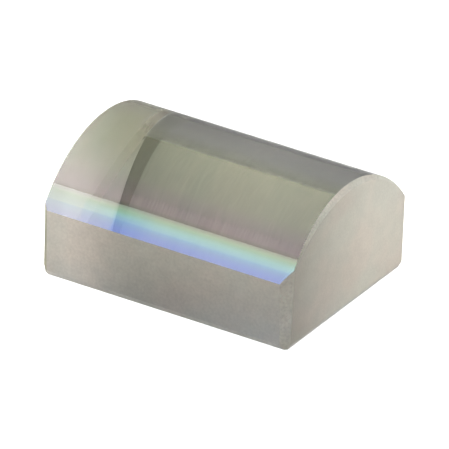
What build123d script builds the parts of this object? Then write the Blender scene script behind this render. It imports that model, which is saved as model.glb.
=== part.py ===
from build123d import *
import math
import os

os.makedirs("parts", exist_ok=True)

# Plano-convex cylindrical lens, one piece of glass resting on its flat face. All lengths in mm.
# X runs along the axis of the curved face, Y across it, Z up from the flat face.
# The origin is in the middle of the flat face.

LENGTH = 25.0
WIDTH = 20.0
EDGE_THICKNESS = 6.3
RADIUS = 11.7

# Ground bevel on each long edge of the flat face: run across the face, rise up the side.
BASE_FRONT_RUN = 0.26
BASE_FRONT_RISE = 0.50
BASE_BACK_RUN = 0.26
BASE_BACK_RISE = 0.40

# Ground bevel on each short edge of the flat face: run across the face, rise up the end.
BASE_RIGHT_RUN = 0.12
BASE_RIGHT_RISE = 0.36
BASE_LEFT_RUN = 0.63
BASE_LEFT_RISE = 0.70

# Upright corner bevels: leg along X and leg along Y at the flat face, and the leg along X
# at the height of the edge thickness as a multiple of the one at the flat face.
FRONT_RIGHT = (0.67, 0.60, 1.43)
FRONT_LEFT = (0.60, 0.54, 0.74)
BACK_RIGHT = (0.44, 0.40, 1.02)
BACK_LEFT = (1.26, 1.75, 0.35)

# Small facet where a corner bevel, an end and the flat face meet: legs along X, Y and Z.
CORNER_NICK = (0.30, 0.62, 0.46)

# Bevel on each curved end edge: width at the crest, and how far the grinding axis sat below
# the axis of the curved face. The lower it sat, the sooner the bevel runs out on the flanks.
RIGHT_ARC_BEVEL = 0.43
RIGHT_ARC_DROP = 1.05
LEFT_ARC_BEVEL = 0.12
LEFT_ARC_DROP = 0.15

HALF_LENGTH = LENGTH / 2
HALF_WIDTH = WIDTH / 2
AXIS_Z = EDGE_THICKNESS - math.sqrt(RADIUS**2 - HALF_WIDTH**2)
CREST_Z = AXIS_Z + RADIUS


def grind(body, a, b, c):
    """Take off whatever lies beyond the plane through three points, as a flat lap does."""
    normal = (Vector(*b) - Vector(*a)).cross(Vector(*c) - Vector(*a)).normalized()
    centre = Vector(0, 0, EDGE_THICKNESS / 2)
    if normal.dot(centre - Vector(*a)) < 0:
        normal = -normal
    return split(body, bisect_by=Plane(origin=a, z_dir=normal), keep=Keep.TOP)


def grind_upright(body, side_x, side_y, bevel):
    """Bevel one upright corner. side_x and side_y are +1 or -1 and choose the corner."""
    leg_x, leg_y, widening = bevel
    corner_x = side_x * HALF_LENGTH
    corner_y = side_y * HALF_WIDTH
    on_side = (corner_x - side_x * leg_x, corner_y, 0)
    on_end = (corner_x, corner_y - side_y * leg_y, 0)
    on_side_high = (corner_x - side_x * leg_x * widening, corner_y, EDGE_THICKNESS)
    return grind(body, on_side, on_end, on_side_high)


def grind_arc(body, side_x, width, drop):
    """Bevel one curved end edge at 45 degrees, by a cone that opens towards the lens's middle."""
    small = RADIUS - width + drop
    large = small + LENGTH
    cone = Cone(bottom_radius=large, top_radius=small, height=LENGTH)
    cone = Pos(0, 0, AXIS_Z - drop) * Rot(0, side_x * 90, 0) * cone
    return body & cone


section = Polyline(
    (-HALF_WIDTH, EDGE_THICKNESS),
    (-HALF_WIDTH, 0),
    (HALF_WIDTH, 0),
    (HALF_WIDTH, EDGE_THICKNESS),
)
dome = ThreePointArc((-HALF_WIDTH, EDGE_THICKNESS), (0, CREST_Z), (HALF_WIDTH, EDGE_THICKNESS))
face = Plane.YZ * make_face(section + dome)
lens = extrude(face, amount=HALF_LENGTH, both=True)

lens = grind_arc(lens, 1, RIGHT_ARC_BEVEL, RIGHT_ARC_DROP)
lens = grind_arc(lens, -1, LEFT_ARC_BEVEL, LEFT_ARC_DROP)

lens = grind_upright(lens, 1, -1, FRONT_RIGHT)
lens = grind_upright(lens, -1, -1, FRONT_LEFT)
lens = grind_upright(lens, 1, 1, BACK_RIGHT)
lens = grind_upright(lens, -1, 1, BACK_LEFT)

for side, run, rise in ((-1, BASE_FRONT_RUN, BASE_FRONT_RISE), (1, BASE_BACK_RUN, BASE_BACK_RISE)):
    low_y = side * (HALF_WIDTH - run)
    high_y = side * HALF_WIDTH
    lens = grind(lens, (-1, low_y, 0), (1, low_y, 0), (0, high_y, rise))

for side, run, rise in ((-1, BASE_LEFT_RUN, BASE_LEFT_RISE), (1, BASE_RIGHT_RUN, BASE_RIGHT_RISE)):
    low_x = side * (HALF_LENGTH - run)
    high_x = side * HALF_LENGTH
    lens = grind(lens, (low_x, -1, 0), (low_x, 1, 0), (high_x, 0, rise))

# The nick at the back right corner, measured from the end of the corner bevel on the end face.
nick_x, nick_y, nick_z = CORNER_NICK
nick_corner_y = HALF_WIDTH - BACK_RIGHT[1]
lens = grind(
    lens,
    (HALF_LENGTH - nick_x, nick_corner_y, 0),
    (HALF_LENGTH, nick_corner_y - nick_y, 0),
    (HALF_LENGTH, nick_corner_y, nick_z),
)

export_step(lens, "parts/lens.step")
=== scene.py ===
import math

import bmesh
import bpy
from mathutils import Matrix, Vector


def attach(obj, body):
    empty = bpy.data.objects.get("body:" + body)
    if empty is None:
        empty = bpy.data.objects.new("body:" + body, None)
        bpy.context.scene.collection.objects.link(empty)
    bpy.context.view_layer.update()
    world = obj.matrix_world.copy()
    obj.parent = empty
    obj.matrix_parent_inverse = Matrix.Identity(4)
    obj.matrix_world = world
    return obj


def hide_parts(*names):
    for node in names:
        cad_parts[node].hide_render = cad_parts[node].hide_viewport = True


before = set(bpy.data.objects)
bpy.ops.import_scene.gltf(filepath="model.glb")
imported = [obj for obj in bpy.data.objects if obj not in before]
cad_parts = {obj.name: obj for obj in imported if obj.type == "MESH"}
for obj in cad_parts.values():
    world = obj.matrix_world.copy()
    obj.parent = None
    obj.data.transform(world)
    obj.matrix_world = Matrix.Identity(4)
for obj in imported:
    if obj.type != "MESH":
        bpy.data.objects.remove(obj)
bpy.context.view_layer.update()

MM = 0.001

# The lens's own sizes in millimetres, the same as in the CAD source.
LENGTH = 25.0
WIDTH = 20.0
EDGE_THICKNESS = 6.3
RADIUS = 11.7
HALF_LENGTH = LENGTH / 2
HALF_WIDTH = WIDTH / 2
AXIS_Z = EDGE_THICKNESS - math.sqrt(RADIUS**2 - HALF_WIDTH**2)

# Material slots: polished dome and base, ground sides and ends, and five bevel slots: the arc
# bevels, and four copies of one ground bevel whose tones are painted light and shade, from bright
# to darkly shaded.
COATED, BASE, FRONT, BACK, RIGHT_END, LEFT_END, ARC, PAINTED_BRIGHT_BEVEL, PAINTED_LIT_BEVEL, PAINTED_SHADED_BEVEL, PAINTED_DARK_SHADE_BEVEL = range(11)

# Each bevel's sizes as in the CAD source, and the slot of its painted light and shade.
BASE_SIDES = {-1: (0.26, 0.50, PAINTED_LIT_BEVEL), 1: (0.26, 0.40, PAINTED_SHADED_BEVEL)}
BASE_ENDS = {1: (0.12, 0.36, PAINTED_LIT_BEVEL), -1: (0.63, 0.70, LEFT_END)}
UPRIGHTS = {
    (1, -1): (0.67, 0.60, 1.43, PAINTED_BRIGHT_BEVEL),
    (-1, -1): (0.60, 0.54, 0.74, PAINTED_DARK_SHADE_BEVEL),
    (1, 1): (0.44, 0.40, 1.02, PAINTED_SHADED_BEVEL),
    (-1, 1): (1.26, 1.75, 0.35, PAINTED_DARK_SHADE_BEVEL),
}
CORNER_NICK = (0.30, 0.62, 0.46)
ARC_BEVELS = {1: (0.43, 1.05), -1: (0.12, 0.15)}

# How finely the round faces are divided, and how far from the crest the arc bevels' facets go.
DOME_STRIPS = 60
ARC_FACETS = 64
ARC_REACH = math.radians(64)

# What the block has above the crest before grinding, how near a plane counts as on it, and how
# near to each other two corners are one.
SPARE_HEIGHT = 1.0
ON_PLANE = 1e-5
WELD = 1e-4

# What a face belongs to, for its normals.
FLAT, DOME, CONE = range(3)


class Blank:
    """A block of glass that is ground down plane by plane, remembering what each face is."""

    def __init__(self, x, y, z):
        self.bm = bmesh.new()
        bmesh.ops.create_cube(self.bm, size=1.0)
        for vert in self.bm.verts:
            vert.co = Vector((vert.co.x * x, vert.co.y * y, (vert.co.z + 0.5) * z))
        self.kind = self.bm.faces.layers.int.new("kind")
        self.side = self.bm.faces.layers.int.new("side")
        for face in self.bm.faces:
            face.normal_update()
            if face.normal.z < -0.5:
                face.material_index = BASE
            elif abs(face.normal.x) > 0.5:
                face.material_index = RIGHT_END if face.normal.x > 0 else LEFT_END
            else:
                face.material_index = BACK if face.normal.y > 0 else FRONT

    def cut(self, point, normal, slot, kind=FLAT, side=0):
        """Takes off what lies beyond the plane and closes the body with one new face."""
        bm = self.bm
        made = bmesh.ops.bisect_plane(
            bm,
            geom=bm.verts[:] + bm.edges[:] + bm.faces[:],
            dist=ON_PLANE,
            plane_co=point,
            plane_no=normal,
            clear_outer=True,
        )
        rim = [e for e in made["geom_cut"] if isinstance(e, bmesh.types.BMEdge) and e.is_boundary]
        if not rim:
            return
        face = bmesh.ops.edgeloop_fill(bm, edges=rim)["faces"][0]
        face.material_index = slot
        face[self.kind] = kind
        face[self.side] = side
        face.normal_update()
        if face.normal.dot(normal) < 0:
            face.normal_flip()

    def grind(self, a, b, c, slot):
        """Cuts along the plane through three points, keeping the lens's middle."""
        a, b, c = Vector(a), Vector(b), Vector(c)
        normal = (b - a).cross(c - a).normalized()
        middle = Vector((0, 0, EDGE_THICKNESS / 2))
        if normal.dot(middle - a) > 0:
            normal = -normal
        self.cut(a, normal, slot)


def on_dome(angle):
    """The point of the curved face at an angle from its crest."""
    return Vector((0, RADIUS * math.sin(angle), AXIS_Z + RADIUS * math.cos(angle)))


def grind_dome(blank):
    """Grinds the curved face in narrow strips with their edges on it."""
    edge = math.asin(HALF_WIDTH / RADIUS)
    for i in range(DOME_STRIPS):
        low = -edge + 2 * edge * i / DOME_STRIPS
        high = -edge + 2 * edge * (i + 1) / DOME_STRIPS
        mid = (low + high) / 2
        blank.cut(on_dome(low), Vector((0, math.sin(mid), math.cos(mid))), COATED, kind=DOME)


def grind_arc_bevels(blank):
    """Bevels the two curved edges by cones, in narrow facets through the cone's tip."""
    step = 2 * ARC_REACH / ARC_FACETS
    for side, (width, drop) in ARC_BEVELS.items():
        small = RADIUS - width + drop
        tip = Vector((side * (HALF_LENGTH + small), 0, AXIS_Z - drop))
        for i in range(ARC_FACETS):
            mid = -ARC_REACH + step * (i + 0.5)
            out = Vector((side * math.cos(step / 2), math.sin(mid), math.cos(mid)))
            blank.cut(tip, out.normalized(), ARC, kind=CONE, side=side)


def grind_flat_bevels(blank):
    """Bevels the upright corners, then the base's edges, then nicks the back right corner."""
    for (side_x, side_y), (leg_x, leg_y, widening, slot) in UPRIGHTS.items():
        x, y = side_x * HALF_LENGTH, side_y * HALF_WIDTH
        blank.grind(
            (x - side_x * leg_x, y, 0),
            (x, y - side_y * leg_y, 0),
            (x - side_x * leg_x * widening, y, EDGE_THICKNESS),
            slot,
        )
    for side, (run, rise, slot) in BASE_SIDES.items():
        low, high = side * (HALF_WIDTH - run), side * HALF_WIDTH
        blank.grind((-1, low, 0), (1, low, 0), (0, high, rise), slot)
    for side, (run, rise, slot) in BASE_ENDS.items():
        low, high = side * (HALF_LENGTH - run), side * HALF_LENGTH
        blank.grind((low, -1, 0), (low, 1, 0), (high, 0, rise), slot)
    nick_x, nick_y, nick_z = CORNER_NICK
    nick_at = HALF_WIDTH - UPRIGHTS[1, 1][1]
    # The nick takes the painted shade of the shaded bevel copy.
    blank.grind(
        (HALF_LENGTH - nick_x, nick_at, 0),
        (HALF_LENGTH, nick_at - nick_y, 0),
        (HALF_LENGTH, nick_at, nick_z),
        PAINTED_SHADED_BEVEL,
    )


def true_normal(face, point, kind, side):
    """The direction of the real surface, round or flat, at a corner of one of its facets."""
    if kind == DOME:
        normal = Vector((0, point.y, point.z - AXIS_Z))
    elif kind == CONE:
        drop = ARC_BEVELS[side][1]
        ring = Vector((0, point.y, point.z - AXIS_Z + drop)).normalized()
        normal = ring + Vector((side, 0, 0))
    else:
        normal = face.normal
    return tuple(normal.normalized())


def make_lens():
    """The ground lens as one mesh in metres, with the true normals on its round faces."""
    blank = Blank(LENGTH, WIDTH, AXIS_Z + RADIUS + SPARE_HEIGHT)
    grind_dome(blank)
    grind_arc_bevels(blank)
    grind_flat_bevels(blank)

    bm, kind, side = blank.bm, blank.kind, blank.side
    bmesh.ops.remove_doubles(bm, verts=bm.verts, dist=WELD)
    bmesh.ops.dissolve_degenerate(bm, edges=bm.edges, dist=WELD)
    bm.normal_update()
    normals = []
    for face in bm.faces:
        face.smooth = True
        for loop in face.loops:
            normals.append(true_normal(face, loop.vert.co, face[kind], face[side]))
    for edge in bm.edges:
        a, b = edge.link_faces[0], edge.link_faces[-1]
        same = (a[kind], a[side]) == (b[kind], b[side])
        edge.smooth = same and a[kind] != FLAT
    bmesh.ops.scale(bm, vec=(MM, MM, MM), verts=bm.verts)
    mesh = bpy.data.meshes.new("lens_glass")
    bm.to_mesh(mesh)
    bm.free()
    mesh.normals_split_custom_set(normals)
    piece = bpy.data.objects.new("lens_glass", mesh)
    bpy.context.scene.collection.objects.link(piece)
    return piece


# The index of a crown glass, and the tint of its flat polished base.
INDEX = 1.517
BASE_TINT = (0.96, 0.97, 0.96, 1)

# Lapped faces: how rough they are, how deep in millimetres and how plain their texture is, how
# fine the patches in their tone are and what share of it they have, the rest being the grain's,
# and how fine the clouds are that turn their colour from cool to warm.
ROUGHNESS = 0.8
BUMP_DEPTH = 0.02
BUMP_STRENGTH = 0.3
PATCHES = 700.0
PATCHES_SHARE = 0.4
CLOUDS = 180.0
COOL = (0.98, 1.01, 1.0)
WARM = (1.02, 0.985, 0.975)
# The values of the noise at which their tone is darkest, plain and palest, and their colour
# coolest and warmest.
TONE_AT = (0.35, 0.5, 0.65)
HUE_AT = (0.40, 0.60)

# In the tables below, each place is in millimetres from the lens's middle or base, and has a
# colour, or one number for a grey. They are tints, not the photo's colours. They were set
# step by step, until the render's colours and tones measured near the photo's.
# The coating's tint comes first, by the distance from the crest line, with the front at minus. Its
# darker dip near -1.7 mm is painted shade.
FILM = [
    (-10.0, (0.43, 0.49, 0.95)),
    (-9.81, (0.42, 0.53, 0.97)),
    (-9.58, (0.44, 0.61, 0.92)),
    (-9.34, (0.46, 0.75, 0.92)),
    (-9.09, (0.48, 0.80, 0.80)),
    (-8.83, (0.475, 0.70, 0.52)),
    (-8.55, (0.57, 0.65, 0.50)),
    (-8.2, (0.99, 0.75, 1.0)),
    (-7.8, (0.87, 0.73, 0.90)),
    (-7.2, (0.81, 0.735, 0.82)),
    (-6.2, (0.82, 0.89, 0.76)),
    (-2.0, (0.865, 0.965, 0.72)),
    (-1.7, (0.84, 0.90, 0.74)),
    (-1.3, (0.90, 0.95, 0.82)),
    (0.0, (0.96, 0.98, 1.0)),
    (2.0, (0.96, 0.94, 1.0)),
    (3.6, (0.96, 0.94, 1.0)),
    (4.8, (0.80, 0.78, 0.88)),
    (6.0, (0.88, 0.88, 0.90)),
    (8.4, (0.70, 0.74, 0.66)),
    (9.2, (0.50, 0.78, 0.80)),
    (10.0, (0.40, 0.48, 0.93)),
]
# The paler tint that takes over towards the left end, and its share along the lens. It is the
# coating's tint with painted light, where the lit left end shows through the face.
FILM_WITH_PAINTED_LIGHT = [
    (-10.0, (0.62, 0.64, 0.80)),
    (-9.4, (0.67, 0.77, 0.78)),
    (-8.8, (0.65, 0.745, 0.64)),
    (-8.5, (0.86, 0.85, 0.84)),
    (-8.2, (1.0, 0.90, 1.0)),
    (-6.0, (0.92, 0.99, 0.86)),
    (-3.5, (0.86, 0.945, 0.76)),
    (0.0, (0.86, 0.93, 0.69)),
    (6.0, (0.90, 0.92, 0.84)),
    (10.0, (0.55, 0.58, 0.70)),
]
PAINTED_LIGHT_SHARE = [(-12.5, 1.0), (-8.95, 1.0), (-8.7, 0.72), (-7.4, 0.55), (-5.7, 0.25), (-5.5, 0.0)]
# The coloured band along the front edge sets in between these places. It is darker at the left
# end, and deeper with painted shade over the dark corner bevel, and there its upper part is
# greener too.
BAND = (-8.2, -8.6)
BAND_PAINTED_SHADE = [
    (-12.5, 0.85),
    (-11.3, 0.90),
    (-10.2, 1.0),
    (-5.9, 1.0),
    (-5.4, (0.72, 0.84, 1.0)),
    (-4.0, (0.74, 0.85, 1.0)),
    (-1.5, 1.0),
]
GREEN_PART = (-9.3, -8.9)
GREENER = [(-5.9, 1.0), (-5.4, (1.04, 1.10, 0.86)), (-4.0, (1.03, 1.06, 0.90)), (-2.5, 1.0)]
# Painted shade: a soft darker patch near the left end, and its strength across the face.
PAINTED_SHADE_PATCH = [
    (-11.8, 1.0),
    (-10.2, (0.80, 0.82, 0.73)),
    (-9.0, (0.83, 0.84, 0.755)),
    (-7.4, (0.91, 0.89, 0.81)),
    (-6.2, (0.97, 0.96, 0.91)),
    (-5.6, 1.0),
]
PAINTED_SHADE_ACROSS = [(-6.2, 0.0), (-3.8, 1.0), (-1.0, 1.0), (1.5, 0.3)]
# Polishing strokes across the face, and how plainly they show across it and along the lens.
STROKE_FINENESS = 5000.0
STROKE_STRETCH = (1, 0.12, 0.12)
STROKE_TONE = [(0.35, 0.93), (0.5, 1.0), (0.68, 1.12)]
STROKES_ACROSS = [(-8.7, 0.15), (-8.2, 0.7), (-6.0, 1.0), (-2.0, 1.0), (-1.0, 0.4)]
STROKES_ALONG = (-9.0, -5.5, 0.2, 1.0)
# The coating mirrors more along both long edges: where that sets in, and the mirror's share.
MIRROR = (8.35, 8.75, 0.04, 0.30)

# Painted light and shade on the front side, along the lens and from the base up: lighter near the
# left end but darker at its very edge, and darker low, lighter high. The last two make its rise of
# tone level near the left end.
FRONT_PAINTED_LIGHT = [
    (-12.4, 0.80),
    (-11.2, 0.89),
    (-9.7, 1.07),
    (-7.6, 1.08),
    (-5.6, 0.95),
    (-3.6, 0.89),
    (-1.3, 0.94),
    (1.0, 0.975),
    (6.0, 1.02),
]
FRONT_PAINTED_RISE = [(0.5, (0.80, 0.81, 0.87)), (3.0, (1.0, 1.0, 1.02)), (5.5, (1.14, 1.15, 1.17))]
FRONT_LEFT_PAINTED_RISE = [(0.5, (1.18, 1.19, 1.18)), (3.0, 1.0), (5.5, 0.84)]
FRONT_LEFT_PAINTED_RISE_SHARE = [(-7.0, 1.0), (-2.0, 0.0)]
# Painted light and shade on the back side along the lens, darker to the right, on the ends and the
# arc bevels across it, and on the front right corner bevel from the base up, darker near the base.
BACK_PAINTED_SHADE = [(-1.0, 1.0), (6.5, 0.68)]
RIGHT_END_PAINTED_LIGHT = [(-9.5, 0.72), (-7.0, 0.83), (-4.0, 0.96), (3.0, 1.10), (8.0, 1.02), (10.0, 0.92)]
LEFT_END_PAINTED_LIGHT = [(-4.0, 1.20), (3.5, (0.76, 0.76, 0.71))]
ARC_PAINTED_LIGHT = [(-8.5, 0.78), (-6.7, 1.0), (-4.8, 1.0), (-3.0, 0.88), (0.0, 0.73), (3.0, 0.57)]
CORNER_PAINTED_SHADE = [(0.3, (0.80, 0.78, 0.74)), (1.8, 1.0)]

# Which of the Mix node's sockets are its colours.
MIX_A, MIX_B, MIX_RESULT = 6, 7, 2


class Tree:
    """The node tree of a material or a world, with short calls for the nodes used here."""

    def __init__(self, owner):
        owner.use_nodes = True
        self.nodes = owner.node_tree.nodes
        self.links = owner.node_tree.links
        self.nodes.clear()

    def add(self, kind, inputs=None, **settings):
        """Adds a node. Each input gets a value, or a link from another node's output."""
        node = self.nodes.new("ShaderNode" + kind)
        for name, value in settings.items():
            setattr(node, name, value)
        for name, value in (inputs or {}).items():
            if isinstance(value, bpy.types.NodeSocket):
                self.links.new(value, node.inputs[name])
            else:
                node.inputs[name].default_value = value
        return node

    def coordinates(self):
        """The piece's own coordinates in metres, as a vector and one by one."""
        vector = self.add("TexCoord").outputs["Object"]
        return vector, self.add("SeparateXYZ", {"Vector": vector}).outputs

    def maths(self, operation, *values):
        return self.add("Math", dict(enumerate(values)), operation=operation).outputs[0]

    def spread(self, place, low, high, at_low=0.0, at_high=1.0):
        """Goes softly from at_low to at_high between two places in millimetres."""
        inputs = {
            "Value": place,
            "From Min": low * MM,
            "From Max": high * MM,
            "To Min": at_low,
            "To Max": at_high,
        }
        return self.add("MapRange", inputs, interpolation_type="SMOOTHSTEP").outputs["Result"]

    def ramp(self, value, stops):
        """A colour that goes by value and changes evenly from stop to stop."""
        node = self.add("ValToRGB", {"Fac": value})
        elements = node.color_ramp.elements
        elements.remove(elements[1])
        for i, (at, colour) in enumerate(stops):
            element = elements.new(at) if i else elements[0]
            element.position = at
            element.color = (*colour, 1) if isinstance(colour, tuple) else (colour,) * 3 + (1,)
        return node.outputs["Color"]

    def by_place(self, place, stops):
        """A colour that goes by one coordinate, for stops in one of the tables above."""
        value = self.maths("MULTIPLY_ADD", place, 1 / (LENGTH * MM), 0.5)
        return self.ramp(value, [(at / LENGTH + 0.5, colour) for at, colour in stops])

    def blend(self, kind, factor, a, b):
        """Mixes two colours. The factor is a number or an output."""
        inputs = {"Factor": factor, MIX_A: a, MIX_B: b}
        node = self.add("Mix", inputs, data_type="RGBA", blend_type=kind)
        return node.outputs[MIX_RESULT]

    def tinted(self, colour, factor, other):
        """The colour times another, as far as factor says."""
        return self.blend("MULTIPLY", factor, colour, other)

    def noise(self, vector, scale, detail, roughness=0.5):
        inputs = {"Vector": vector, "Scale": scale, "Detail": detail, "Roughness": roughness}
        return self.add("TexNoise", inputs).outputs["Fac"]


def glass(name, clear=1.0, roughness=0.0):
    """A new glass material, with its tree and its shader."""
    material = bpy.data.materials.new(name)
    tree = Tree(material)
    inputs = {"Transmission Weight": clear, "Roughness": roughness, "IOR": INDEX}
    shader = tree.add("BsdfPrincipled", inputs)
    tree.add("OutputMaterial", {"Surface": shader.outputs["BSDF"]})
    return material, tree, shader


def coated_glass():
    """The polished curved face. The tint of its coating goes by the place on the face, with
    painted light towards the left end and painted shade in places.
    """
    material, tree, shader = glass("coated_glass")
    coords, xyz = tree.coordinates()
    x, y = xyz["X"], xyz["Y"]
    films = [tree.by_place(y, stops) for stops in (FILM, FILM_WITH_PAINTED_LIGHT)]
    # Towards the left end the paler tint, with its painted light, mixes in.
    tint = tree.blend("MIX", tree.by_place(x, PAINTED_LIGHT_SHARE), *films)

    in_band = tree.spread(y, *BAND)
    # The band deepens, with painted shade over the dark corner bevel.
    tint = tree.tinted(tint, in_band, tree.by_place(x, BAND_PAINTED_SHADE))
    in_green = tree.maths("MULTIPLY", in_band, tree.spread(y, *GREEN_PART))
    tint = tree.tinted(tint, in_green, tree.by_place(x, GREENER))
    # A soft patch of painted shade near the left end.
    tint = tree.tinted(tint, tree.by_place(y, PAINTED_SHADE_ACROSS), tree.by_place(x, PAINTED_SHADE_PATCH))

    drawn = tree.add("Mapping", {"Vector": coords, "Scale": STROKE_STRETCH}).outputs["Vector"]
    strokes = tree.ramp(tree.noise(drawn, STROKE_FINENESS, detail=2.0), STROKE_TONE)
    along = tree.spread(x, *STROKES_ALONG)
    plainly = tree.maths("MULTIPLY", tree.by_place(y, STROKES_ACROSS), along)
    tint = tree.tinted(tint, plainly, strokes)

    tree.links.new(tint, shader.inputs["Base Color"])
    from_crest = tree.maths("ABSOLUTE", y)
    tree.links.new(tree.spread(from_crest, *MIRROR), shader.inputs["Metallic"])
    return material


def polished_glass():
    """The flat base."""
    material, _, shader = glass("polished_glass")
    shader.inputs["Base Color"].default_value = BASE_TINT
    return material


def ground_glass(name, colour, grain, uneven, clear=0.7, drawn=None, fades=()):
    """Lapped glass. grain is its texture's fineness and uneven how much its tone varies.

    clear is the share of the light that can go into it. drawn stretches the grain into
    strokes along Z. Each of fades is a change of tone, painted light and shade: its axis and
    its table, and also the table of its share along X where it doesn't hold everywhere.
    """
    material, tree, shader = glass(name, clear, ROUGHNESS)
    coords, xyz = tree.coordinates()
    along = coords
    if drawn:
        stretch = {"Vector": coords, "Scale": (1, 1, drawn)}
        along = tree.add("Mapping", stretch).outputs["Vector"]
    fine = tree.noise(along, grain, detail=3.0, roughness=0.6)
    patches = tree.noise(coords, PATCHES, detail=3.0)
    fine_part = tree.maths("MULTIPLY", fine, 1 - PATCHES_SHARE)
    tone = tree.maths("MULTIPLY_ADD", patches, PATCHES_SHARE, fine_part)
    shade = tree.ramp(tone, zip(TONE_AT, (1 - uneven, 1.0, 1 + uneven)))
    clouds = tree.noise(coords, CLOUDS, detail=2.0)
    cool, warm = (tuple(c * k for c, k in zip(colour, cast)) for cast in (COOL, WARM))
    hue = tree.ramp(clouds, zip(HUE_AT, (cool, warm)))
    tint = tree.tinted(hue, 1.0, shade)
    for axis, stops, *share in fades:
        strength = tree.by_place(xyz["X"], share[0]) if share else 1.0
        tint = tree.tinted(tint, strength, tree.by_place(xyz[axis], stops))
    tree.links.new(tint, shader.inputs["Base Color"])
    relief = {"Strength": BUMP_STRENGTH, "Distance": BUMP_DEPTH * MM, "Height": fine}
    bump = tree.add("Bump", relief)
    tree.links.new(bump.outputs["Normal"], shader.inputs["Normal"])
    return material


def finishes():
    """The lens's materials in the order of their slots."""
    return [
        coated_glass(),
        polished_glass(),
        # The ground sides and ends are copies of one lapped glass. Their colours differ in hue,
        # and in lightness by painted light and shade.
        ground_glass(
            "ground_front",
            (0.73, 0.68, 0.61),
            grain=3500.0,
            uneven=0.12,
            # Painted light and shade along the front and up from its base.
            fades=[("X", FRONT_PAINTED_LIGHT), ("Z", FRONT_PAINTED_RISE), ("Z", FRONT_LEFT_PAINTED_RISE, FRONT_LEFT_PAINTED_RISE_SHARE)],
        ),
        ground_glass(
            "ground_back",
            (0.88, 0.865, 0.72),
            grain=4500.0,
            uneven=0.2,
            drawn=0.06,
            fades=[("X", BACK_PAINTED_SHADE)],
        ),
        ground_glass(
            "ground_right_end",
            (0.64, 0.60, 0.53),
            grain=5500.0,
            uneven=0.07,
            clear=0.4,
            fades=[("Y", RIGHT_END_PAINTED_LIGHT)],
        ),
        ground_glass(
            "ground_left_end",
            (0.74, 0.69, 0.62),
            grain=5500.0,
            uneven=0.07,
            clear=0.95,
            fades=[("Y", LEFT_END_PAINTED_LIGHT)],
        ),
        ground_glass(
            "arc_bevel",
            (1.0, 0.96, 0.85),
            grain=5000.0,
            uneven=0.16,
            clear=0.1,
            fades=[("Y", ARC_PAINTED_LIGHT)],
        ),
        # These four are one ground bevel in copies whose tones are painted light and shade:
        # bright, lit, shaded and darkly shaded.
        ground_glass(
            "painted_bright_bevel",
            (0.95, 0.89, 0.80),
            grain=3500.0,
            uneven=0.2,
            clear=0.6,
            fades=[("Z", CORNER_PAINTED_SHADE)],
        ),
        ground_glass("painted_lit_bevel", (0.78, 0.76, 0.73), grain=3500.0, uneven=0.15, clear=0.6),
        ground_glass("painted_shaded_bevel", (0.58, 0.54, 0.47), grain=4500.0, uneven=0.15),
        ground_glass("painted_dark_shade_bevel", (0.43, 0.41, 0.29), grain=4500.0, uneven=0.15),
    ]


lens = make_lens()
for finish in finishes():
    lens.data.materials.append(finish)
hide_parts("lens")
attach(lens, "root")


# The camera, from the fit to the photograph: its direction and its distance in metres, then its
# focal length, the photograph's side and the place of the origin there in pixels, and last the
# width of its sensor in millimetres and what it sees between in metres.
AZIMUTH, ELEVATION, ROLL = math.radians(30.238), math.radians(27.744), math.radians(-2.459)
DISTANCE = 0.86
FOCAL_PIXELS = 9843.0
IMAGE = 449
ORIGIN_AT = (222.58, 268.65)
SENSOR = 36.0
NEAR, FAR = 0.05, 20.0


def make_camera():
    """Looks past the origin, so that the origin falls where it does in the photograph."""
    towards = Vector((
        math.sin(AZIMUTH) * math.cos(ELEVATION),
        -math.cos(AZIMUTH) * math.cos(ELEVATION),
        math.sin(ELEVATION),
    ))
    level = Vector((math.cos(AZIMUTH), math.sin(AZIMUTH), 0))
    upright = towards.cross(level)
    right = level * math.cos(ROLL) - upright * math.sin(ROLL)
    up = level * math.sin(ROLL) + upright * math.cos(ROLL)
    forward = (
        -towards * FOCAL_PIXELS
        + right * (IMAGE / 2 - ORIGIN_AT[0])
        + up * (ORIGIN_AT[1] - IMAGE / 2)
    ).normalized()
    right = forward.cross(up).normalized()
    up = right.cross(forward)

    camera = bpy.data.objects.new("camera", bpy.data.cameras.new("camera"))
    camera.data.sensor_width = SENSOR
    camera.data.lens = SENSOR * FOCAL_PIXELS / IMAGE
    camera.data.clip_start = NEAR
    camera.data.clip_end = FAR
    camera.data.dof.use_dof = False
    turn = Matrix((right, up, -forward)).transposed().to_4x4()
    camera.matrix_world = Matrix.Translation(towards * DISTANCE) @ turn
    bpy.context.scene.collection.objects.link(camera)
    bpy.context.scene.camera = camera


# The lamps, in metres: each one's place, size and brightness. They all face the lens's middle.
# The brightnesses began as a least-squares match of the photo's tones, and were then rounded
# and changed. So were the strengths of the floor and the world below.
MIDDLE = Vector((0, 0, 0.005))
BROAD = (0.030, 0.030)
LAMPS = (
    ("front_left", (-0.050, -0.045, 0.030), BROAD, 7.3),
    ("right", (0.045, 0.020, 0.012), BROAD, 4.1),
    ("back_right", (0.030, 0.045, 0.012), BROAD, 3.2),
    ("above_back", (0.0, 0.040, 0.070), BROAD, 2.6),
    ("back", (0.010, 0.060, 0.040), BROAD, 1.0),
    ("low_back", (-0.010, 0.045, 0.006), BROAD, 0.9),
    ("left_low", (-0.0185, -0.0015, 0.0030), (0.014, 0.006), 2.05),
    ("left", (-0.030, -0.001, 0.007), (0.012, 0.012), 1.9),
)
# Two long soft panels that show only where a face mirrors them, each between two heights in
# degrees above the front horizon, with its colour.
STRIPS = (
    ("strip_high", 42.3, 55.6, (1, 1, 1)),
    ("strip_low", 24.0, 42.3, (0.82, 0.86, 1.0)),
)
STRIP_DISTANCE = 0.5
STRIP_LENGTH = 0.3
STRIP_X = -0.249
STRIP_BRIGHTNESS = 1.4


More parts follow.
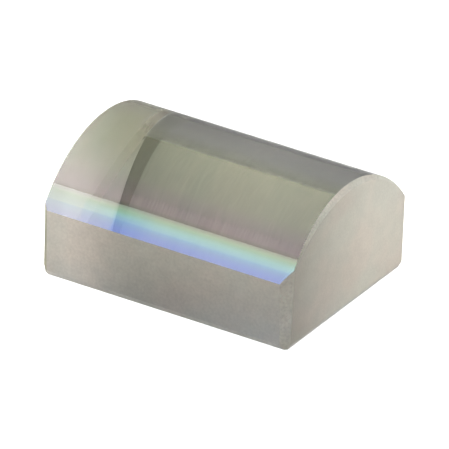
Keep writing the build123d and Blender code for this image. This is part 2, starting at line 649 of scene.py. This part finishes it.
def panel(name, place, x, z, size, brightness, colour=(1, 1, 1)):
    """A rectangular lamp with its sides along x and across it, that shines against z."""
    light = bpy.data.lights.new(name, "AREA")
    light.shape = "RECTANGLE"
    light.size, light.size_y = size
    light.color = colour
    light.energy = brightness * math.pi * size[0] * size[1]
    lamp = bpy.data.objects.new(name, light)
    turn = Matrix((x, z.cross(x), z)).transposed().to_4x4()
    lamp.matrix_world = Matrix.Translation(place) @ turn
    lamp.visible_camera = False
    bpy.context.scene.collection.objects.link(lamp)
    return lamp


def make_lamps():
    for name, place, size, brightness in LAMPS:
        z = (Vector(place) - MIDDLE).normalized()
        x = Vector((0, 0, 1)).cross(z).normalized()
        lamp = panel(name, place, x, z, size, brightness)
        lamp.visible_glossy = False


def make_strips():
    for name, low, high, colour in STRIPS:
        low, high = math.radians(low), math.radians(high)
        bottom = Vector((0, -math.cos(low), math.sin(low))) * STRIP_DISTANCE
        top = Vector((0, -math.cos(high), math.sin(high))) * STRIP_DISTANCE
        middle = (bottom + top) / 2
        z = middle.normalized()
        middle.x = STRIP_X
        size = (STRIP_LENGTH, (top - bottom).length)
        lamp = panel(name, middle, Vector((1, 0, 0)), z, size, STRIP_BRIGHTNESS, colour)
        lamp.visible_diffuse = False
        lamp.visible_transmission = False


# The floor and the world are white to the camera. The glass, which in the photo shows no white,
# meets a dim grey, and rays that go through it meet a dimmer one.
FLOOR_COLOUR = (0.8, 0.8, 0.79)
FLOOR_HALF = 3.0
FLOOR_DROP = 0.00005
FLOOR_GLOW = (("Is Camera Ray", 0.93), ("Is Transmission Ray", 0.05))
WORLD_GREY = 0.2
WORLD_GLOW = (("Is Transmission Ray", 0.03), ("Is Camera Ray", 1.0))


def floor_material():
    material = bpy.data.materials.new("floor")
    tree = Tree(material)
    rays = tree.add("LightPath").outputs
    glow = [tree.maths("MULTIPLY", rays[ray], strength) for ray, strength in FLOOR_GLOW]
    white = tree.add("Emission", {"Strength": tree.maths("ADD", *glow)})
    plain = tree.add("BsdfDiffuse", {"Color": (*FLOOR_COLOUR, 1)})
    both = tree.add("AddShader", {0: plain.outputs[0], 1: white.outputs[0]})
    tree.add("OutputMaterial", {"Surface": both.outputs[0]})
    return material


def make_floor():
    corners = [(-1, -1), (1, -1), (1, 1), (-1, 1)]
    mesh = bpy.data.meshes.new("floor")
    mesh.from_pydata([(x * FLOOR_HALF, y * FLOOR_HALF, 0) for x, y in corners], [], [range(4)])
    mesh.materials.append(floor_material())
    piece = bpy.data.objects.new("floor", mesh)
    piece.location.z = -FLOOR_DROP
    bpy.context.scene.collection.objects.link(piece)
    return piece


def make_world():
    world = bpy.data.worlds.new("studio")
    bpy.context.scene.world = world
    tree = Tree(world)
    rays = tree.add("LightPath").outputs
    white = (1, 1, 1, 1)
    shader = tree.add("Background", {"Color": white, "Strength": WORLD_GREY}).outputs[0]
    for ray, strength in WORLD_GLOW:
        level = tree.add("Background", {"Color": white, "Strength": strength}).outputs[0]
        shader = tree.add("MixShader", {"Fac": rays[ray], 1: shader, 2: level}).outputs[0]
    tree.add("OutputWorld", {"Surface": shader})


make_camera()
make_strips()
make_lamps()
floor = make_floor()
make_world()

bpy.context.scene.view_settings.view_transform = "Standard"
